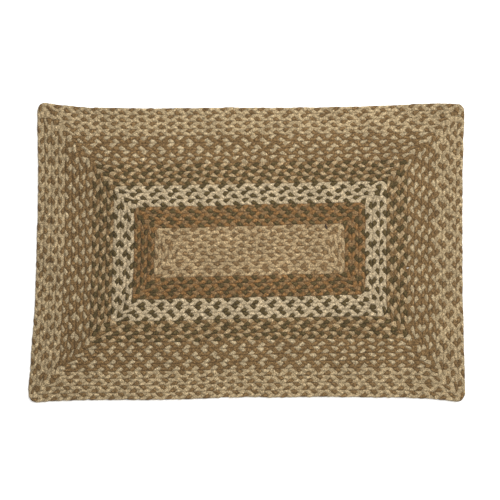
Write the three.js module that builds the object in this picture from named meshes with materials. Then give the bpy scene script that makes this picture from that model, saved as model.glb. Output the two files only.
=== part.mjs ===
// A rectangular braided rug of jute, in millimetres, +Z up, lying flat on z = 0.
// Three-strand plaits are laid in rounds about a straight centre braid, turned
// square at every corner, and sewn edge to edge. Each colour blend is a length
// of braid of its own, so the rug is six pieces that nest inside one another:
// a solid middle and five square-cornered bands. Every braid stands up as a rib
// with a groove at each seam, and the underside is flat.

import * as THREE from "three";

// One braid, from the groove on its inner side to the groove on its outer side.
const BRAID_WIDTH = 12.2;
const CROWN_HEIGHT = 9;
const VALLEY_HEIGHT = 8.4;
const SEAM_HEIGHT = 5.8;
const CROWN_PLACE = 0.24; // how far in from each seam the crown is, in braid widths

// The outermost edge is round: it is widest at its waist and tucks under.
const EDGE_WAIST_HEIGHT = 4.4;
const EDGE_TUCK = 1.3;
const EDGE_SHOULDER = 0.7;
const EDGE_SHOULDER_HEIGHT = 6.9;

// The rounds. The centre braid is straight, and every round goes about it.
const CENTRE_BRAID_LENGTH = 260.8;
const CORNER_RADIUS = 9;
const PIECE_GAP = 0.3;

// The pieces, from the middle outwards, with the rounds of braid in each. The
// middle has its centre braid besides.
const PIECES = [
  { name: "middle_wheat_braid", rounds: 3, colour: 0x9d8563 },
  { name: "chestnut_braid", rounds: 3, colour: 0x755e3f },
  { name: "cream_braid", rounds: 3, colour: 0x9c8b6d },
  { name: "olive_fleck_braid", rounds: 3, colour: 0x826d4f },
  { name: "walnut_braid", rounds: 4, colour: 0x907959 },
  { name: "oatmeal_braid", rounds: 4, colour: 0x9e8968 },
];
const JUTE_ROUGHNESS = 0.95;

// Hand sewing pulls the rug out of square. Each value is the most that a point
// moves, in millimetres, and the scales are how tight the rounds were sewn.
const LENGTH_SCALE = 0.992;
const WIDTH_SCALE = 1.019;
const END_WAIST = 4.2; // the ends draw in between their corners
const SIDE_WAIST = 8.3; // the long sides draw in, all but near the corners
const MIDDLE_TURN = 10.3; // the middle rounds climb from left to right
const FRONT_LEFT_FLARE = 9; // the front left corner runs out
const RIGHT_LEAN = 3.2; // the right end leans out towards the back

// How finely a round is cut into flats.
const LONG_SIDE_STEPS = 10;
const SHORT_SIDE_STEPS = 7;
const CORNER_STEPS = 3;

const SPINE_HALF_LENGTH = (CENTRE_BRAID_LENGTH - BRAID_WIDTH) / 2;
const ROUND_COUNT = PIECES.reduce((sum, piece) => sum + piece.rounds, 0);
const HALF_WIDTH = (ROUND_COUNT + 0.5) * BRAID_WIDTH;
const HALF_LENGTH = SPINE_HALF_LENGTH + HALF_WIDTH;

// Where a point of the square-sewn rug really lies.
function asSewn(x, y) {
  const a = x / HALF_LENGTH;
  const b = y / HALF_WIDTH;
  const toLeft = (1 - a) / 2;
  const toRight = (1 + a) / 2;
  const toFront = (1 - b) / 2;
  const sewnX = x * LENGTH_SCALE + END_WAIST * a * b ** 2
    - FRONT_LEFT_FLARE * toLeft * toFront ** 3 + RIGHT_LEAN * b * toRight ** 2;
  const sewnY = y * WIDTH_SCALE + SIDE_WAIST * a ** 6 * b ** 3
    + MIDDLE_TURN * a * (1 - 0.6 * a ** 2 - 0.4 * b ** 2);
  return [sewnX, sewnY];
}

// One round of points at a distance from the spine, counter-clockwise from the
// front right corner. At no distance it folds flat onto the spine.
function roundAt(distance) {
  const radius = Math.min(CORNER_RADIUS, distance);
  const innerX = SPINE_HALF_LENGTH + distance - radius;
  const innerY = distance - radius;
  const corners = [
    { x: innerX, y: -innerY, from: -Math.PI / 2, sideSteps: SHORT_SIDE_STEPS },
    { x: innerX, y: innerY, from: 0, sideSteps: LONG_SIDE_STEPS },
    { x: -innerX, y: innerY, from: Math.PI / 2, sideSteps: SHORT_SIDE_STEPS },
    { x: -innerX, y: -innerY, from: Math.PI, sideSteps: LONG_SIDE_STEPS },
  ];
  const onCorner = (corner, step) => {
    const angle = corner.from + (Math.PI / 2) * (step / CORNER_STEPS);
    return [corner.x + radius * Math.cos(angle), corner.y + radius * Math.sin(angle)];
  };
  const points = [];
  corners.forEach((corner, index) => {
    for (let step = 0; step <= CORNER_STEPS; step += 1) {
      points.push(onCorner(corner, step));
    }
    const start = onCorner(corner, CORNER_STEPS);
    const end = onCorner(corners[(index + 1) % corners.length], 0);
    for (let step = 1; step < corner.sideSteps; step += 1) {
      const t = step / corner.sideSteps;
      points.push([start[0] + (end[0] - start[0]) * t, start[1] + (end[1] - start[1]) * t]);
    }
  });
  return points;
}

// The section of a piece from its inner seam to its outer one, as distances
// from the spine and heights. It runs outwards over the ribs and back under.
function sectionOf(firstRound, lastRound) {
  const seamAt = (round) => (round - 0.5) * BRAID_WIDTH;
  const isMiddle = firstRound === 0;
  const isEdge = lastRound === ROUND_COUNT;
  const inner = isMiddle ? 0 : seamAt(firstRound) + PIECE_GAP / 2;
  const outer = isEdge ? seamAt(lastRound + 1) : seamAt(lastRound + 1) - PIECE_GAP / 2;
  const section = [];
  if (!isMiddle) {
    section.push([inner, 0], [inner, SEAM_HEIGHT]);
  }
  for (let round = firstRound; round <= lastRound; round += 1) {
    const seam = seamAt(round);
    if (round > firstRound) {
      section.push([seam, SEAM_HEIGHT]);
    }
    if (round > 0) {
      section.push([seam + CROWN_PLACE * BRAID_WIDTH, CROWN_HEIGHT]);
    }
    section.push([seam + BRAID_WIDTH / 2, VALLEY_HEIGHT]);
    section.push([seam + (1 - CROWN_PLACE) * BRAID_WIDTH, CROWN_HEIGHT]);
  }
  if (isEdge) {
    section.push([outer - EDGE_SHOULDER, EDGE_SHOULDER_HEIGHT]);
    section.push([outer, EDGE_WAIST_HEIGHT]);
    section.push([outer - EDGE_TUCK, 0]);
  } else {
    section.push([outer, SEAM_HEIGHT], [outer, 0]);
  }
  if (isMiddle) {
    section.push([0, 0]);
  }
  return section;
}

// Sweeps a section round the rug. Points that fall together, as they do along
// the spine, are one vertex, and triangles that they flatten are left out.
function sweepRound(section) {
  const positions = [];
  const vertexOf = new Map();
  const vertexAt = (x, y, z) => {
    const key = [x, y, z].map((value) => value.toFixed(4)).join();
    if (!vertexOf.has(key)) {
      vertexOf.set(key, positions.length / 3);
      positions.push(x, y, z);
    }
    return vertexOf.get(key);
  };
  const loops = section.map(([distance, height]) =>
    roundAt(distance).map(([x, y]) => vertexAt(...asSewn(x, y), height)));
  const triangles = [];
  const addTriangle = (p, q, r) => {
    if (p !== q && q !== r && r !== p) {
      triangles.push(p, q, r);
    }
  };
  const closes = section[0][0] > 0;
  const bandCount = closes ? loops.length : loops.length - 1;
  for (let band = 0; band < bandCount; band += 1) {
    const near = loops[band];
    const far = loops[(band + 1) % loops.length];
    for (let step = 0; step < near.length; step += 1) {
      const next = (step + 1) % near.length;
      addTriangle(near[step], far[step], far[next]);
      addTriangle(near[step], far[next], near[next]);
    }
  }
  const geometry = new THREE.BufferGeometry();
  geometry.setAttribute("position", new THREE.Float32BufferAttribute(positions, 3));
  geometry.setIndex(triangles);
  geometry.computeVertexNormals();
  return geometry;
}

function braidPiece({ name, colour }, firstRound, lastRound) {
  const material = new THREE.MeshStandardMaterial({
    color: colour,
    roughness: JUTE_ROUGHNESS,
    metalness: 0,
  });
  const mesh = new THREE.Mesh(sweepRound(sectionOf(firstRound, lastRound)), material);
  mesh.name = name;
  return mesh;
}

function braidedRug() {
  const rug = new THREE.Group();
  let lastRound = 0;
  for (const piece of PIECES) {
    const firstRound = lastRound === 0 ? 0 : lastRound + 1;
    lastRound += piece.rounds;
    rug.add(braidPiece(piece, firstRound, lastRound));
  }
  // The origin is under the middle of the rug's outline.
  const middle = new THREE.Box3().setFromObject(rug).getCenter(new THREE.Vector3());
  rug.position.set(-middle.x, -middle.y, 0);
  return rug;
}

export default braidedRug();
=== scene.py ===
# A rectangular braided rug of jute, lying flat on a pale floor. Three-strand
# plaits are laid in rounds about a straight centre braid and sewn edge to edge,
# and each colour blend is one piece. Every lobe that a strand of a plait shows is
# modelled, on top and on the underside.
# Lengths are in metres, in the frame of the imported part.

import math

import bmesh
import bpy
import mathutils
import numpy as np
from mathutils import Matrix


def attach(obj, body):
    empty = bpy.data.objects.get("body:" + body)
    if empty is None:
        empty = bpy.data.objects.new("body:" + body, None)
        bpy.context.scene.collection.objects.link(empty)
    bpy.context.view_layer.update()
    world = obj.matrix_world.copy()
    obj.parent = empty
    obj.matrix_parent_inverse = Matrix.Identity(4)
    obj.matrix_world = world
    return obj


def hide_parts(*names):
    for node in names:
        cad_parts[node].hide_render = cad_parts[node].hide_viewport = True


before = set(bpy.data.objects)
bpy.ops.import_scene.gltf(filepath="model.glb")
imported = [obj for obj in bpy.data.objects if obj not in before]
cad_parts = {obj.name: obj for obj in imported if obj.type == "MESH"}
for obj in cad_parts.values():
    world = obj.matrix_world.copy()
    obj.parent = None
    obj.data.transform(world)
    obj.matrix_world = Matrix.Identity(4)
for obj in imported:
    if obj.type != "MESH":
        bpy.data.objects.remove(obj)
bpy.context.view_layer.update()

MM = 0.001

# ---------------------------------------------------------------- the plait
BRAID_WIDTH = 12.2 * MM  # as laced, which presses neighbouring plaits together
PLAIT_WIDTH = 13.2 * MM  # as plaited
BRAID_HALF_HEIGHT = 4.5 * MM
STRAND_PERIOD = 33.2 * MM  # after which each strand lies as it did before
STRAND_COUNT = 3
LOBE_PITCH = STRAND_PERIOD / STRAND_COUNT
LOBE_SLOPE = 1.08  # sideways run of a lobe for each unit along the braid
ZIGZAG_SLOPE = 0.74  # of the zigzag along the middle, where the lobes meet
ZIGZAG = ZIGZAG_SLOPE * LOBE_PITCH / 4  # how far it swings to each side
LOBE_RUN = (PLAIT_WIDTH / 2 - ZIGZAG) / LOBE_SLOPE
THIRD_STRAND_PLACE = 1.5 * LOBE_PITCH - 0.8 * MM  # middle of its left-hand lobe
LOBE_CUTS = 3  # cuts that subdivide each edge of a lobe's flat outline
LOBE_CURL = 0.5 * MM  # bends a lobe's root on, to meet the edge less slantwise
ROOT_CURL = LOBE_CURL * 2 / 3  # what that comes to at the edge itself
CREASE_SHARE = 0.52  # height of the creases, as a share of the half height
DIVE_LENGTH = 3.4 * MM  # over which a lobe goes down under the one across it
LOBE_FULLNESS = 0.8  # under 1, lobes are fuller than a sine's arch
DOME_POWER = 6  # how square the braid's edge is, apart from its lobes
PILLOW_POWER = 8  # how near the edge the lobes stand up
CROWN_POWER = 4  # how near the edge they are out of the painted crease shade
SCALLOP = 0.45 * MM  # how far each lobe bulges past the braid's edge
EDGE_CROWDING = 1.4  # how much closer the points get towards the edge
AT_EDGE = 0.999  # a share of the half width that only the edge's points pass
FLANK_SLACK = 1e-6  # of a lobe, so that its points on its flank count as its own
CREASE_ANGLE = math.radians(38)  # sharper edges than this are shaded as creases
TURNED_MERGE = 0.001 * MM  # joins the top and the underside
SEAM_MERGE = 0.005 * MM  # joins the periods end to end
OUTER_EDGE_SHARE = 0.9  # the outermost edge is tucked in by the lacing
END_TAPER = 9 * MM  # over which the centre braid's ends narrow to nothing
HEIGHT_CHANGE = 0.07  # how much thicker or thinner the lobes get, as a share
LEFT_SLACK = 0.06  # how much narrower the left side's rows are, so seams show
LEFT_ROLL = 0.45  # how far the left side's rows roll down outwards, as a share
LEFT_ROLL_START = -0.3  # half widths out from a row's middle, where this begins
LEFT_PAINTED_SHADE = 0.75  # how much more painted shade the left rows get by their seams and rolled-down sides
LEFT_SHADE_POWER = 3  # how near a row's two edges that painted shade keeps
LEFT_REACH = 15 * MM  # over which all this begins, from the left side's mitres
SEAM_WANDER = 0.6 * MM  # how far whole rows are laced out of line
SEAM_CELL = 40 * MM
LOBE_WANDER = 0.7 * MM  # how far single lobes are pulled out of line
LOBE_CELL = 8 * MM
LATTICE_SIDE = 240  # cells along the random lattices, which reach past the rug

# --------------------------------------------------------------- the rounds
CENTRE_BRAID_LENGTH = 260.8 * MM
CORNER_RADIUS = 9 * MM
MITRE_REACH = 24 * MM  # how far from a corner its slant pulls on the lobes
SPINE_HALF_LENGTH = (CENTRE_BRAID_LENGTH - BRAID_WIDTH) / 2
ROUND_COUNT = 20
HALF_WIDTH = (ROUND_COUNT + 0.5) * BRAID_WIDTH
HALF_LENGTH = SPINE_HALF_LENGTH + HALF_WIDTH

# Hand sewing pulls the rug out of square, by the same values as in the part.
LENGTH_SCALE = 0.992
WIDTH_SCALE = 1.019
END_WAIST = 4.2 * MM
SIDE_WAIST = 8.3 * MM
MIDDLE_TURN = 10.3 * MM
TURN_FADE_ALONG = 0.6
TURN_FADE_ACROSS = 0.4
FRONT_LEFT_FLARE = 9 * MM
RIGHT_LEAN = 3.2 * MM

# Where the lacing pulls an edge in a little: 1 for the back edge or -1 for the
# front, the place along it, how far the pull spreads each way, and its depth,
# which is negative where the lacing is slack and the edge comes out.
EDGE_PULLS = [
    (1, 105 * MM, 110 * MM, 2.6 * MM),
    (1, 310 * MM, 50 * MM, -1.4 * MM),
    (-1, -20 * MM, 75 * MM, 1.7 * MM),
]

# How the last rounds' corners come out: 1 for the right or back and -1 for the
# left or front, how far the corner is pushed along and back, and its tuck in.
CORNER_REACH = 30 * MM
TUCK_REACH = 11 * MM
CORNER_PULLS = [
    (1, 1, 1.5 * MM, -2.0 * MM, 4.0 * MM),
    (-1, 1, 0, 3.2 * MM, 5.0 * MM),
    (-1, -1, 0, -0.7 * MM, 5.0 * MM),
    (1, -1, 0.5 * MM, 0, 5.0 * MM),
]

# The pieces from the middle outwards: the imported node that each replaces, its
# material slot, how many rounds it has, and the jute of its three strands. The
# first one has the centre braid too.
PIECES = [
    ("middle_wheat_braid", "wheat_jute", 3, ("wheat", "wheat", "fawn")),
    ("chestnut_braid", "chestnut_jute", 3, ("rust", "sienna", "olive")),
    ("cream_braid", "cream_jute", 3, ("cream", "cream", "olive")),
    ("olive_fleck_braid", "olive_fleck_jute", 3, ("wheat", "umber", "olive")),
    ("walnut_braid", "walnut_jute", 4, ("umber", "umber", "straw")),
    ("oatmeal_braid", "oatmeal_jute", 4, ("oat", "oat", "tan")),
]

# Where the third strand of each round, the one of its own colour, shows beside
# the middle of its back, left, front and right sides, in millimetres on from
# there. A row is a round, the first one inmost. The short ends of the first
# three have no place of their own, and follow from their long sides.
STRAND_PLACES = [
    (14, None, 4, None), (11, None, 11, None), (16, None, -4, None),
    (-15, 2, 10, 15), (12, -3, -16, 0), (3, 3, -7, 12),
    (-7, -11, -4, -9), (-5, 1, 8, 9), (3, 16, -5, 10),
    (15, 0, 15, -4), (10, 6, -7, 16), (6, 2, -2, 3),
    (10, -6, 7, 17), (9, -3, -10, 10), (-13, 10, 12, 1), (10, 15, -8, -3),
    (-13, -4, -14, -6), (-11, -5, -10, 5), (-12, 12, -12, -12), (-2, 5, 14, 15),
]

# Odd ends that show on top: the node they are on, where, their length, width
# and the way they point in degrees, and their jute.
LOOSE_ENDS = [
    ("middle_wheat_braid", 135.2 * MM, 41.6 * MM, 10 * MM, 3.4 * MM, 110, "splice"),
    ("olive_fleck_braid", 276.5 * MM, -30.5 * MM, 5 * MM, 2.0 * MM, 20, "raw"),
]
LOOSE_END_HEIGHT = 8.0 * MM
LOOSE_END_FLATNESS = 0.8  # its thickness, as a share of its width
LOOSE_END_SEGMENTS = 12
LOOSE_END_RINGS = 8

# The dyed jutes: the colour of most fibres, and of the odd ones among them.
JUTE_COLOURS = {
    "cream": ((0.488, 0.390, 0.248), (0.385, 0.286, 0.160)),
    "straw": ((0.450, 0.355, 0.214), (0.300, 0.210, 0.110)),
    "oat": ((0.450, 0.346, 0.201), (0.304, 0.206, 0.103)),
    "wheat": ((0.402, 0.294, 0.162), (0.294, 0.194, 0.096)),
    "fawn": ((0.195, 0.120, 0.054), (0.270, 0.178, 0.086)),
    "tan": ((0.180, 0.109, 0.046), (0.250, 0.166, 0.079)),
    "sienna": ((0.246, 0.150, 0.068), (0.176, 0.106, 0.044)),
    "umber": ((0.185, 0.112, 0.046), (0.252, 0.160, 0.076)),
    "rust": ((0.246, 0.130, 0.047), (0.152, 0.088, 0.036)),
    "olive": ((0.084, 0.059, 0.023), (0.134, 0.096, 0.044)),
    "splice": ((0.038, 0.027, 0.020), (0.070, 0.048, 0.036)),
    "raw": ((0.420, 0.390, 0.350), (0.340, 0.310, 0.270)),
}


def flat_plait():
    """One period of a plait seen flat: a lobe is a leaning box and a point.

    The lobes of both sides meet along a zigzag, where each one's end lies
    against the flank of the one across it. The braid runs along x, and its left
    side is +y. A face's layer says which side it is on, and its material index
    says which strand it is of.
    """
    bm = bmesh.new()
    side = bm.faces.layers.int.new("side")
    half = PLAIT_WIDTH / 2
    steps = range(STRAND_COUNT + 1)
    left_edge = [bm.verts.new((i * LOBE_PITCH - LOBE_RUN, half, 0)) for i in steps]
    left_point = [bm.verts.new((i * LOBE_PITCH, ZIGZAG, 0)) for i in steps]
    right_point = [bm.verts.new(((i + 0.5) * LOBE_PITCH, -ZIGZAG, 0)) for i in steps]
    right_edge = [
        bm.verts.new(((i + 0.5) * LOBE_PITCH - LOBE_RUN, -half, 0)) for i in steps
    ]
    for i in range(STRAND_COUNT):
        outlines = (
            (1, -i, (left_edge[i], left_point[i], left_point[i + 1], left_edge[i + 1])),
            (1, -i, (left_point[i], right_point[i], left_point[i + 1])),
            (-1, 1 - i, (right_edge[i], right_edge[i + 1], right_point[i + 1], right_point[i])),
            (-1, 1 - i, (right_point[i], right_point[i + 1], left_point[i + 1])),
        )
        for which_side, strand, corners in outlines:
            face = bm.faces.new(corners)
            face[side] = which_side
            face.material_index = strand % STRAND_COUNT
    return bm


def raise_lobes(bm):
    """Gives the flat plait its height, and each lobe its strand's own map."""
    side = bm.faces.layers.int["side"]
    along_strand = bm.loops.layers.uv.new("Strand")
    crown = bm.verts.layers.float.new("Crown")
    slant = math.hypot(1, LOBE_SLOPE)
    lobe_width = LOBE_PITCH * LOBE_SLOPE / slant
    half = PLAIT_WIDTH / 2

    def in_left_terms(x, y, which_side):
        """The same place on a left lobe: the right ones are half a pitch on."""
        return (x, y) if which_side > 0 else (x - LOBE_PITCH / 2, -y)

    def across_lobes(x, y):
        """How many lobes along a point is, counted on the lines of their flanks."""
        slope = LOBE_SLOPE if y > ZIGZAG else ZIGZAG_SLOPE
        return (x - (ZIGZAG - y) / slope) / LOBE_PITCH

    # The rings of points are closer together towards the braid's edge, where
    # the lobes round over, each point staying on its leaning line.
    for vert in bm.verts:
        reach = (abs(vert.co.y) - ZIGZAG) / (half - ZIGZAG)
        if 0 < reach < 1:
            outward = ((1 - (1 - reach) ** EDGE_CROWDING) - reach) * (half - ZIGZAG)
            vert.co.x -= outward / LOBE_SLOPE
            vert.co.y += math.copysign(outward, vert.co.y)

    for face in bm.faces:
        middle = face.calc_center_median()
        x, y = in_left_terms(middle.x, middle.y, face[side])
        lobe = math.floor(across_lobes(x, y))
        for loop in face.loops:
            x, y = in_left_terms(loop.vert.co.x, loop.vert.co.y, face[side])
            across = across_lobes(x, y) - lobe - 0.5
            along = (x - LOBE_SLOPE * y) / slant
            loop[along_strand].uv = (along, across * lobe_width)

    for vert in bm.verts:
        x, y = in_left_terms(vert.co.x, vert.co.y, vert.link_faces[0][side])
        lobe = math.floor(across_lobes(x, y) + FLANK_SLACK)
        across = across_lobes(x, y) - lobe
        end_line = (lobe + 0.5) * LOBE_PITCH + (y + ZIGZAG) / ZIGZAG_SLOPE
        to_end = (end_line - x) * ZIGZAG_SLOPE / math.hypot(1, ZIGZAG_SLOPE)
        edge = abs(y) / half
        at_edge = edge > AT_EDGE
        dome = 0 if at_edge else CREASE_SHARE * math.sqrt(1 - edge ** DOME_POWER)
        swell = math.sin(math.pi * across) ** LOBE_FULLNESS if 0 < across < 1 else 0
        dive = math.sin(math.pi / 2 * min(1, max(0, to_end / DIVE_LENGTH))) ** LOBE_FULLNESS
        # The Crown value drives painted shade: it is low in the creases between lobes and
        # towards the braid's edge, where the colour is darkened.
        vert[crown] = swell * dive * (1 - edge ** CROWN_POWER)
        raised = swell * dive * (1 - edge ** PILLOW_POWER)
        pillow = 0 if at_edge else (1 - CREASE_SHARE) * raised
        outward = max(0, (y - ZIGZAG) / (half - ZIGZAG))
        vert.co.z = BRAID_HALF_HEIGHT * (dome + pillow)
        vert.co.x += LOBE_CURL * outward ** 2 * (1 - outward / 3)
        if at_edge:
            vert.co.y += math.copysign(SCALLOP * swell, vert.co.y)


def plait_period():
    """One period of the plait, top and underside, with open ends."""
    bm = flat_plait()
    bmesh.ops.subdivide_edges(bm, edges=bm.edges, cuts=LOBE_CUTS, use_grid_fill=True)
    raise_lobes(bm)
    # The underside is the top turned over about a line across the braid, so a
    # strand that leaves the top at an edge comes back along the underside.
    top = bm.verts[:] + bm.edges[:] + bm.faces[:]
    under = bmesh.ops.duplicate(bm, geom=top)["geom"]
    under_verts = [part for part in under if isinstance(part, bmesh.types.BMVert)]
    for part in under:
        if isinstance(part, bmesh.types.BMFace):
            part.material_index = (1 - part.material_index) % STRAND_COUNT
    for vert in under_verts:
        vert.co.z = -vert.co.z
        vert.co.x = STRAND_PERIOD - 2 * LOBE_RUN + 2 * ROOT_CURL - vert.co.x
    bmesh.ops.remove_doubles(bm, verts=bm.verts, dist=TURNED_MERGE)
    mesh = bpy.data.meshes.new("plait_period")
    bm.to_mesh(mesh)
    bm.free()
    return mesh


def round_length(number):
    """The length of a round along the middle of its braid."""
    distance = number * BRAID_WIDTH
    radius = min(CORNER_RADIUS, distance - BRAID_WIDTH / 2)
    straight = 4 * (SPINE_HALF_LENGTH + 2 * (distance - radius))
    return straight + 2 * math.pi * radius


def on_round(number, travelled, outward):
    """Where a braid's points lie on a round, counter-clockwise from its back.

    Every seam turns its corners at the same small radius, so neighbouring
    rounds fill the mitre between them.
    """
    distance = number * BRAID_WIDTH
    radius = min(CORNER_RADIUS, distance - BRAID_WIDTH / 2)
    half_long = SPINE_HALF_LENGTH + distance - radius
    half_short = distance - radius
    arc = math.pi / 2 * radius
    # Each stretch: its length, whether it is straight, and the heading at its start.
    stretches = [(half_long, True, 180)]
    for heading, half in ((180, half_short), (270, half_long), (0, half_short), (90, half_long)):
        stretches.append((arc, False, heading))
        stretches.append((2 * half, True, heading + 90))
    stretches[-1] = (half_long, True, 180)
    x = np.empty_like(travelled)
    y = np.empty_like(travelled)
    start = 0.0
    total = round_length(number)
    place = np.mod(travelled, total)
    for index, (length, straight, heading) in enumerate(stretches):
        here = (place >= start) & (place <= start + length)
        way = place[here] - start
        off = outward[here]
        if straight:
            turn = math.radians(heading)
            ahead = np.array((math.cos(turn), math.sin(turn)))
            aside = np.array((math.sin(turn), -math.cos(turn)))
            half = half_long if heading % 180 == 0 else half_short
            if index == 0:
                way = way + half
            along = way - half
            reach = min(MITRE_REACH, half)
            pull = np.clip((np.abs(along) - (half - reach)) / reach, 0, 1) ** 2
            along = along + off * pull * np.sign(along)
            side_distance = distance if heading % 180 == 0 else SPINE_HALF_LENGTH + distance
            x[here] = ahead[0] * along + aside[0] * (side_distance + off)
            y[here] = ahead[1] * along + aside[1] * (side_distance + off)
        else:
            corner = math.radians(heading - 45)
            x_sign = math.copysign(1, math.cos(corner))
            y_sign = math.copysign(1, math.sin(corner))
            angle = math.radians(heading - 90) + way / radius
            x[here] = x_sign * (half_long + off) + radius * np.cos(angle)
            y[here] = y_sign * (half_short + off) + radius * np.sin(angle)
        start += length
    return x, y


def as_sewn(x, y):
    """Where a point of the square-sewn rug really lies, as in the part."""
    a = x / HALF_LENGTH
    b = y / HALF_WIDTH
    to_left = (1 - a) / 2
    to_right = (1 + a) / 2
    to_front = (1 - b) / 2
    sewn_x = (
        x * LENGTH_SCALE
        + END_WAIST * a * b ** 2
        - FRONT_LEFT_FLARE * to_left * to_front ** 3
        + RIGHT_LEAN * b * to_right ** 2
    )
    sewn_y = (
        y * WIDTH_SCALE
        + SIDE_WAIST * a ** 6 * b ** 3
        + MIDDLE_TURN * a * (1 - TURN_FADE_ALONG * a ** 2 - TURN_FADE_ACROSS * b ** 2)
    )
    for edge_sign, place, reach, pull in EDGE_PULLS:
        near_edge = np.clip(b * edge_sign, 0, 1) ** 3
        sewn_y -= edge_sign * pull * near_edge * np.exp(-(((x - place) / reach) ** 2))
    for x_sign, y_sign, push_x, push_y, tuck in CORNER_PULLS:
        from_corner = np.hypot(x - x_sign * HALF_LENGTH, y - y_sign * HALF_WIDTH)
        pushed = np.exp(-((from_corner / CORNER_REACH) ** 2))
        tucked = tuck * math.sqrt(0.5) * np.exp(-((from_corner / TUCK_REACH) ** 2))
        sewn_x += push_x * pushed - x_sign * tucked
        sewn_y += push_y * pushed - y_sign * tucked
    return sewn_x, sewn_y


OUTLINE_POINTS = 4000


def outline_middle():
    """The middle of the sewn rug's box, which the part puts at the origin."""
    travelled = np.linspace(0, round_length(ROUND_COUNT), OUTLINE_POINTS)
    outer_edge = np.full_like(travelled, BRAID_WIDTH / 2)
    x, y = as_sewn(*on_round(ROUND_COUNT, travelled, outer_edge))
    return np.array((x.min() + x.max(), y.min() + y.max())) / 2


OUTLINE_MIDDLE = outline_middle()


def unevenness(x, y, cell, seed):
    """Smooth random values from -1 to 1 over the rug, from a seeded lattice.

    Each kind of unevenness has a cell size and a seed of its own.
    """
    lattice = np.random.default_rng(seed).uniform(-1, 1, (LATTICE_SIDE, LATTICE_SIDE))
    u = x / cell + LATTICE_SIDE / 2
    v = y / cell + LATTICE_SIDE / 2
    column = np.floor(u).astype(int)
    row = np.floor(v).astype(int)
    # How far on a place is in its cell, eased so that no lattice lines show.
    right = u - column
    up = v - row
    right = right * right * (3 - 2 * right)
    up = up * up * (3 - 2 * up)
    low = lattice[column, row] * (1 - right) + lattice[column + 1, row] * right
    high = lattice[column, row + 1] * (1 - right) + lattice[column + 1, row + 1] * right
    return low * (1 - up) + high * up


def coordinates(mesh):
    """The places of a mesh's points, one row for each."""
    flat = np.empty(len(mesh.vertices) * 3, dtype=np.float64)
    mesh.vertices.foreach_get("co", flat)
    return flat.reshape(-1, 3)


def run_of_plait(period, count):
    """A straight run of whole plait periods, joined end to end."""
    run = bpy.data.objects.new("run", period)
    bpy.context.collection.objects.link(run)
    array = run.modifiers.new("periods", "ARRAY")
    array.count = count
    array.use_relative_offset = False
    array.use_constant_offset = True
    array.constant_offset_displace = (STRAND_PERIOD, 0, 0)
    array.use_merge_vertices = True
    array.merge_threshold = SEAM_MERGE
    depsgraph = bpy.context.evaluated_depsgraph_get()
    mesh = bpy.data.meshes.new_from_object(run.evaluated_get(depsgraph))
    bpy.data.objects.remove(run)
    return mesh


def lay_down(mesh, x, y, z):
    """Puts a laid-out run where the hand-sewn rug has it, on the floor."""
    x, y = as_sewn(x, y)
    height = 1 + HEIGHT_CHANGE * unevenness(x, y, LOBE_PITCH, 1)
    wander_x = SEAM_WANDER * unevenness(x, y, SEAM_CELL, 2)
    wander_y = SEAM_WANDER * unevenness(x, y, SEAM_CELL, 3)
    wander_x += LOBE_WANDER * unevenness(x, y, LOBE_CELL, 4)
    wander_y += LOBE_WANDER * unevenness(x, y, LOBE_CELL, 5)
    z = BRAID_HALF_HEIGHT + z * np.where(z > 0, height, 1)
    placed = np.column_stack((x + wander_x, y + wander_y, z))
    placed[:, :2] -= OUTLINE_MIDDLE
    mesh.vertices.foreach_set("co", placed.ravel())


def sewn_round(period, number):
    """A round of plait, its ends butted."""
    length = round_length(number)
    places = [
        side * length / 4 + shown * MM
        for side, shown in enumerate(STRAND_PLACES[number - 1])
        if shown is not None
    ]
    # The third strand's places on the round, and where the straight run has the
    # same lobes: each stretch between is drawn out or crowded a little to fit.
    on_rug = [places[-1] - length, *places, places[0] + length]
    counts = np.round(np.diff(on_rug) / STRAND_PERIOD)
    in_run = (np.concatenate(([0], np.cumsum(counts))) - counts[0]) * STRAND_PERIOD
    mesh = run_of_plait(period, int(counts[1:].sum()))
    flat = coordinates(mesh)
    travelled = np.interp(flat[:, 0], in_run + THIRD_STRAND_PLACE, on_rug)
    # The left side's middle is a quarter of the way round from the back's.
    from_left = np.abs(travelled - length / 4)
    on_left = np.clip((number * BRAID_WIDTH - from_left) / LEFT_REACH, 0, 1)
    outward = -flat[:, 1] * (1 - LEFT_SLACK * on_left)
    to_edge = outward / (PLAIT_WIDTH / 2)
    rolled = on_left * np.clip(to_edge - LEFT_ROLL_START, 0, 1)
    if number == ROUND_COUNT:
        outward = np.where(outward > 0, outward * OUTER_EDGE_SHARE, outward)
    x, y = on_round(number, travelled, outward)
    rolled_height = flat[:, 2] * np.where(flat[:, 2] > 0, 1 - LEFT_ROLL * rolled, 1)
    lay_down(mesh, x, y, rolled_height)
    # Painted shade on the left rows: their Crown values are lowered by their seams and on their
    # rolled-down outer sides, which darkens their colour.
    crowns = np.empty(len(flat), dtype=np.float32)
    mesh.attributes["Crown"].data.foreach_get("value", crowns)
    by_seam = on_left * np.abs(to_edge) ** LEFT_SHADE_POWER
    crowns *= 1 - LEFT_PAINTED_SHADE * np.maximum(rolled, by_seam)
    mesh.attributes["Crown"].data.foreach_set("value", crowns)
    return mesh


def centre_braid(period):
    """The straight braid that the rounds are laced about, its ends narrowed."""
    length = CENTRE_BRAID_LENGTH
    count = round(length / STRAND_PERIOD)
    # One more period at each end, which shrinks to a point and closes the tip.
    mesh = run_of_plait(period, count + 2)
    flat = coordinates(mesh)
    along = length / 2 - (flat[:, 0] - STRAND_PERIOD) * length / (count * STRAND_PERIOD)
    past = np.clip((np.abs(along) - (length / 2 - END_TAPER)) / END_TAPER, 0, 1)
    narrow = np.sqrt(1 - past ** 2)
    x = np.clip(along, -length / 2, length / 2)
    lay_down(mesh, x, -flat[:, 1] * narrow, flat[:, 2] * narrow)
    return mesh


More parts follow.
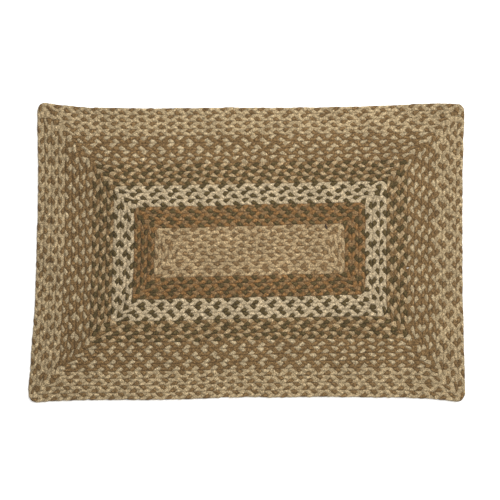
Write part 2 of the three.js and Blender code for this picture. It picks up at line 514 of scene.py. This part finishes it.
def loose_end(bm, place, length, width, turn, material_index):
    """A short end of yarn lying on the lobes, with rounded tips."""
    strand_map = bm.loops.layers.uv["Strand"]
    crown = bm.verts.layers.float["Crown"]
    ball = bmesh.ops.create_uvsphere(
        bm, u_segments=LOOSE_END_SEGMENTS, v_segments=LOOSE_END_RINGS, radius=0.5
    )
    yarn = ball["verts"]
    bmesh.ops.rotate(bm, verts=yarn, matrix=mathutils.Matrix.Rotation(math.pi / 2, 3, "Y"))
    bmesh.ops.scale(bm, verts=yarn, vec=(length, width, width * LOOSE_END_FLATNESS))
    for vert in yarn:
        # Loose ends lie on top, out of the painted crease shade.
        vert[crown] = 1
        for loop in vert.link_loops:
            loop[strand_map].uv = vert.co.xy
            loop.face.material_index = material_index
            loop.face.smooth = True
    turned = mathutils.Matrix.Rotation(math.radians(turn), 3, "Z")
    bmesh.ops.rotate(bm, verts=yarn, matrix=turned)
    bmesh.ops.translate(bm, verts=yarn, vec=(*place, LOOSE_END_HEIGHT))


def braid_piece(period, node, rounds, strands):
    """All the rounds of one colour blend, as one object in place of its node.

    Round 0 is the centre braid.
    """
    bm = bmesh.new()
    for number in rounds:
        mesh = sewn_round(period, number) if number else centre_braid(period)
        bm.from_mesh(mesh)
        bpy.data.meshes.remove(mesh)
    bmesh.ops.remove_doubles(bm, verts=bm.verts, dist=SEAM_MERGE)
    for face in bm.faces:
        face.smooth = True
    for edge in bm.edges:
        edge.smooth = edge.is_boundary or edge.calc_face_angle(0) < CREASE_ANGLE
    jutes = list(strands)
    for end_node, x, y, end_length, width, turn, end_jute in LOOSE_ENDS:
        if end_node == node:
            loose_end(bm, (x, y), end_length, width, turn, len(jutes))
            jutes.append(end_jute)
    piece_mesh = bpy.data.meshes.new(node + "_plait")
    bm.to_mesh(piece_mesh)
    bm.free()
    for name in jutes:
        piece_mesh.materials.append(jute(name))
    piece = bpy.data.objects.new(node + "_plait", piece_mesh)
    bpy.context.collection.objects.link(piece)
    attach(piece, "root")
    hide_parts(node)
    return piece


# ------------------------------------------------------------- the materials
YARN_WIDTH = 1.55 * MM  # so that about five lie side by side across a lobe
YARN_FULLNESS = 0.6  # under 1, the yarns are fuller than a sine's arch
TWIST_LENGTH = 3.1 * MM
TWIST_SLANT = 2.0  # how far on the twist is from each yarn to the next, in half turns
PAINTED_CREASE_SHADE = 0.66  # brightness that the painted crease shade leaves at the bottom of a crease
CREASE_SPREAD = 0.5  # under 1, the painted shade keeps nearer to the crease
RIDGE_LIGHT = 0.35  # painted shade between the yarns: how much darker the jute is there

# The fibres' noise is drawn out along the strand. These are its cells a metre
# along and across, and its change a metre over the rug.
FIBRES_ALONG = 280.0
FIBRES_ACROSS = 2400.0
FIBRE_CHANGE = 40.0
FIBRE_DISTORTION = 0.3
ODD_FIBRE_GAIN = 3.2  # how sharply the odd fibres part from the main ones
ODD_FIBRE_START = -1.45  # lower for fewer odd fibres

# The unevenness of the dye: noise cells a metre, and how many times brightness
# doubles over the noise's whole range.
TUFT_SCALE = 230.0
TUFT_CONTRAST = 2.8
SPECK_SCALE = 620.0
SPECK_CONTRAST = 5.0
LOT_SCALE = 22.0
LOT_CONTRAST = 0.6
GRAIN_ROUGHNESS = 0.7  # of the noise of the tufts and the specks

# The bump: its whole depth and strength, and how high the twist, the fibres and
# the tufts stand on it, where a yarn's ridge is 1.
RIDGE_HEIGHT = 0.30 * MM
BUMP_STRENGTH = 0.9
TWIST_HEIGHT = 0.16
FIBRE_HEIGHT = 0.7
TUFT_HEIGHT = 0.8


def value_node(tree, operation, *inputs):
    """The output of a Math node, given numbers or other nodes' sockets."""
    node = tree.nodes.new("ShaderNodeMath")
    node.operation = operation
    for index, given in enumerate(inputs):
        if isinstance(given, bpy.types.NodeSocket):
            tree.links.new(given, node.inputs[index])
        else:
            node.inputs[index].default_value = given
    return node.outputs[0]


def mixed(tree, share, first, second):
    """A colour between two others, each a colour or another node's socket."""
    node = tree.nodes.new("ShaderNodeMix")
    node.data_type = "RGBA"
    for name, given in (("Factor_Float", share), ("A_Color", first), ("B_Color", second)):
        socket = next(s for s in node.inputs if s.identifier == name)
        if isinstance(given, bpy.types.NodeSocket):
            tree.links.new(given, socket)
        else:
            socket.default_value = given
    return next(s for s in node.outputs if s.identifier == "Result_Color")


def noise(tree, vector, scale, detail, distortion=0.0, roughness=0.5):
    """The value of a Noise Texture at the place that a socket gives."""
    node = tree.nodes.new("ShaderNodeTexNoise")
    tree.links.new(vector, node.inputs["Vector"])
    node.inputs["Scale"].default_value = scale
    node.inputs["Detail"].default_value = detail
    node.inputs["Distortion"].default_value = distortion
    node.inputs["Roughness"].default_value = roughness
    return node.outputs["Fac"]


def jute_group():
    """Twisted jute yarns side by side along each strand: colour, with painted shade in the
    creases and between the yarns, and normal.
    """
    tree = bpy.data.node_groups.new("Jute yarns", "ShaderNodeTree")
    sockets = tree.interface
    sockets.new_socket("Main Colour", in_out="INPUT", socket_type="NodeSocketColor")
    sockets.new_socket("Odd Colour", in_out="INPUT", socket_type="NodeSocketColor")
    sockets.new_socket("Colour", in_out="OUTPUT", socket_type="NodeSocketColor")
    sockets.new_socket("Normal", in_out="OUTPUT", socket_type="NodeSocketVector")
    given = tree.nodes.new("NodeGroupInput")
    result = tree.nodes.new("NodeGroupOutput")

    strand_map = tree.nodes.new("ShaderNodeUVMap")
    strand_map.uv_map = "Strand"
    split = tree.nodes.new("ShaderNodeSeparateXYZ")
    tree.links.new(strand_map.outputs[0], split.inputs[0])
    along, across = split.outputs[0], split.outputs[1]
    place = tree.nodes.new("ShaderNodeTexCoord").outputs["Object"]
    split_place = tree.nodes.new("ShaderNodeSeparateXYZ")
    tree.links.new(place, split_place.inputs[0])

    # Yarn ridges across the strand, and the twist that runs slantwise on them.
    yarn = value_node(tree, "MULTIPLY", across, math.pi / YARN_WIDTH)
    arch = value_node(tree, "ABSOLUTE", value_node(tree, "SINE", yarn))
    ridge = value_node(tree, "POWER", arch, YARN_FULLNESS)
    slant = value_node(tree, "MULTIPLY", along, 2 * math.pi / TWIST_LENGTH)
    twist = value_node(tree, "SINE", value_node(tree, "MULTIPLY_ADD", yarn, TWIST_SLANT, slant))

    # Fibres: noise drawn out along the strand, different at every place.
    stretched = tree.nodes.new("ShaderNodeCombineXYZ")
    tree.links.new(value_node(tree, "MULTIPLY", along, FIBRES_ALONG), stretched.inputs[0])
    tree.links.new(value_node(tree, "MULTIPLY", across, FIBRES_ACROSS), stretched.inputs[1])
    shift = value_node(tree, "ADD", split_place.outputs[0], split_place.outputs[1])
    tree.links.new(value_node(tree, "MULTIPLY", shift, FIBRE_CHANGE), stretched.inputs[2])
    fibres = noise(tree, stretched.outputs[0], 1.0, 3.0, distortion=FIBRE_DISTORTION)
    tufts = noise(tree, place, TUFT_SCALE, 3.0, roughness=GRAIN_ROUGHNESS)
    specks = noise(tree, place, SPECK_SCALE, 1.0, roughness=GRAIN_ROUGHNESS)
    dye_lots = noise(tree, place, LOT_SCALE, 2.0)

    odd_share = value_node(tree, "MULTIPLY_ADD", fibres, ODD_FIBRE_GAIN, ODD_FIBRE_START)
    odd_share.node.use_clamp = True
    blend = mixed(tree, odd_share, given.outputs["Main Colour"], given.outputs["Odd Colour"])
    # The colour's brightness: painted shade between the yarns, then the dye's own unevenness.
    light = value_node(tree, "MULTIPLY_ADD", ridge, RIDGE_LIGHT, 1 - RIDGE_LIGHT)
    unevenly = value_node(tree, "MULTIPLY_ADD", tufts, TUFT_CONTRAST, -TUFT_CONTRAST / 2)
    unevenly = value_node(tree, "MULTIPLY_ADD", specks, SPECK_CONTRAST, unevenly)
    unevenly = value_node(tree, "MULTIPLY_ADD", dye_lots, LOT_CONTRAST, unevenly)
    unevenly = value_node(tree, "ADD", unevenly, -(SPECK_CONTRAST + LOT_CONTRAST) / 2)
    light = value_node(tree, "MULTIPLY", light, value_node(tree, "POWER", 2.0, unevenly))
    # Painted shade in the creases, where the Crown value is low.
    crown = tree.nodes.new("ShaderNodeAttribute")
    crown.attribute_name = "Crown"
    in_light = value_node(tree, "POWER", crown.outputs["Fac"], CREASE_SPREAD)
    out_of_shade = value_node(tree, "MULTIPLY_ADD", in_light, 1 - PAINTED_CREASE_SHADE, PAINTED_CREASE_SHADE)
    light = value_node(tree, "MULTIPLY", light, out_of_shade)
    grey = tree.nodes.new("ShaderNodeCombineColor")
    for channel in grey.inputs:
        tree.links.new(light, channel)
    shaded = tree.nodes.new("ShaderNodeMix")
    shaded.data_type = "RGBA"
    shaded.blend_type = "MULTIPLY"
    shaded.inputs[0].default_value = 1.0
    tree.links.new(blend, next(s for s in shaded.inputs if s.identifier == "A_Color"))
    tree.links.new(grey.outputs[0], next(s for s in shaded.inputs if s.identifier == "B_Color"))
    shaded_colour = next(s for s in shaded.outputs if s.identifier == "Result_Color")
    tree.links.new(shaded_colour, result.inputs["Colour"])

    height = value_node(tree, "MULTIPLY_ADD", twist, TWIST_HEIGHT, ridge)
    height = value_node(tree, "MULTIPLY_ADD", fibres, FIBRE_HEIGHT, height)
    height = value_node(tree, "MULTIPLY_ADD", tufts, TUFT_HEIGHT, height)
    bump = tree.nodes.new("ShaderNodeBump")
    bump.inputs["Strength"].default_value = BUMP_STRENGTH
    bump.inputs["Distance"].default_value = RIDGE_HEIGHT
    tree.links.new(height, bump.inputs["Height"])
    tree.links.new(bump.outputs[0], result.inputs["Normal"])
    return tree


JUTE_GROUP = jute_group()


def jute(name):
    """The matt jute of one dye, made once."""
    if name in bpy.data.materials:
        return bpy.data.materials[name]
    material = bpy.data.materials.new(name)
    material.use_nodes = True
    tree = material.node_tree
    shader = tree.nodes["Principled BSDF"]
    shader.inputs["Roughness"].default_value = 0.92
    shader.inputs["Specular IOR Level"].default_value = 0.07
    shader.inputs["Sheen Weight"].default_value = 0.05
    shader.inputs["Sheen Roughness"].default_value = 0.6
    yarns = tree.nodes.new("ShaderNodeGroup")
    yarns.node_tree = JUTE_GROUP
    main, odd = JUTE_COLOURS[name]
    yarns.inputs["Main Colour"].default_value = (*main, 1)
    yarns.inputs["Odd Colour"].default_value = (*odd, 1)
    tree.links.new(yarns.outputs["Colour"], shader.inputs["Base Color"])
    tree.links.new(yarns.outputs["Normal"], shader.inputs["Normal"])
    return material


period = plait_period()
inmost = 0
outmost = 0
for node, slot, round_count, strands in PIECES:
    outmost += round_count
    braid_piece(period, node, range(inmost, outmost + 1), strands)
    inmost = outmost + 1
bpy.data.meshes.remove(period)

# ------------------------------------------------- the floor, light and camera
FLOOR_DROP = 0.2 * MM  # clear of the rug's underside
FLOOR_HALF_SIDE = 4.0

floor_mesh = bpy.data.meshes.new("floor")
bm = bmesh.new()
bmesh.ops.create_grid(bm, x_segments=1, y_segments=1, size=FLOOR_HALF_SIDE)
bmesh.ops.translate(bm, verts=bm.verts, vec=(0, 0, -FLOOR_DROP))
bm.to_mesh(floor_mesh)
bm.free()
floor = bpy.data.objects.new("floor", floor_mesh)
bpy.context.collection.objects.link(floor)
pale = bpy.data.materials.new("pale_floor")
pale.use_nodes = True
pale_shader = pale.node_tree.nodes["Principled BSDF"]
pale_shader.inputs["Base Color"].default_value = (0.92, 0.92, 0.91, 1)
pale_shader.inputs["Emission Color"].default_value = (1, 1, 1, 1)
pale_shader.inputs["Emission Strength"].default_value = 0.4
pale_shader.inputs["Roughness"].default_value = 0.9
pale_shader.inputs["Specular IOR Level"].default_value = 0.1
floor_mesh.materials.append(pale)

world = bpy.data.worlds.new("studio")
world.use_nodes = True
sky = world.node_tree.nodes["Background"]
sky.inputs["Color"].default_value = (1, 1, 1, 1)
sky.inputs["Strength"].default_value = 0.48
bpy.context.scene.world = world
bpy.context.scene.view_settings.view_transform = "Standard"


# The lights: where each one is, the side of its square in metres, and its power
# in watts. The key light is far off to the right and back, and the top one is
# low over the middle, so that the rug darkens towards its corners.
LIGHTS = [
    ("key", (2.2, 1.6, 4.2), 1.2, 126),
    ("top", (0.08, 0.18, 0.8), 0.3, 3.9),
]


def soft_light(name, place, side, watts):
    """A square area light at a place, facing the middle of the rug."""
    light = bpy.data.lights.new(name, "AREA")
    light.size = side
    light.energy = watts
    lamp = bpy.data.objects.new(name, light)
    lamp.location = place
    lamp.rotation_mode = "QUATERNION"
    facing = mathutils.Vector(place)
    lamp.rotation_quaternion = facing.to_track_quat("Z", "Y")
    lamp.visible_camera = False
    bpy.context.collection.objects.link(lamp)


for lamp_name, lamp_place, lamp_side, lamp_watts in LIGHTS:
    soft_light(lamp_name, lamp_place, lamp_side, lamp_watts)

CAMERA_TILT = math.radians(4)
CAMERA_DISTANCE = 1.605
CAMERA_TARGET = mathutils.Vector((2.3 * MM, 1.4 * MM, 0))
CAMERA_LENS = 66  # millimetres, as is the sensor
CAMERA_SENSOR = 36
camera_data = bpy.data.cameras.new("camera")
camera_data.lens = CAMERA_LENS
camera_data.sensor_width = CAMERA_SENSOR
camera = bpy.data.objects.new("camera", camera_data)
camera.rotation_euler = (CAMERA_TILT, 0, 0)
camera.location = CAMERA_TARGET + CAMERA_DISTANCE * mathutils.Vector(
    (0, -math.sin(CAMERA_TILT), math.cos(CAMERA_TILT))
)
bpy.context.collection.objects.link(camera)
bpy.context.scene.camera = camera
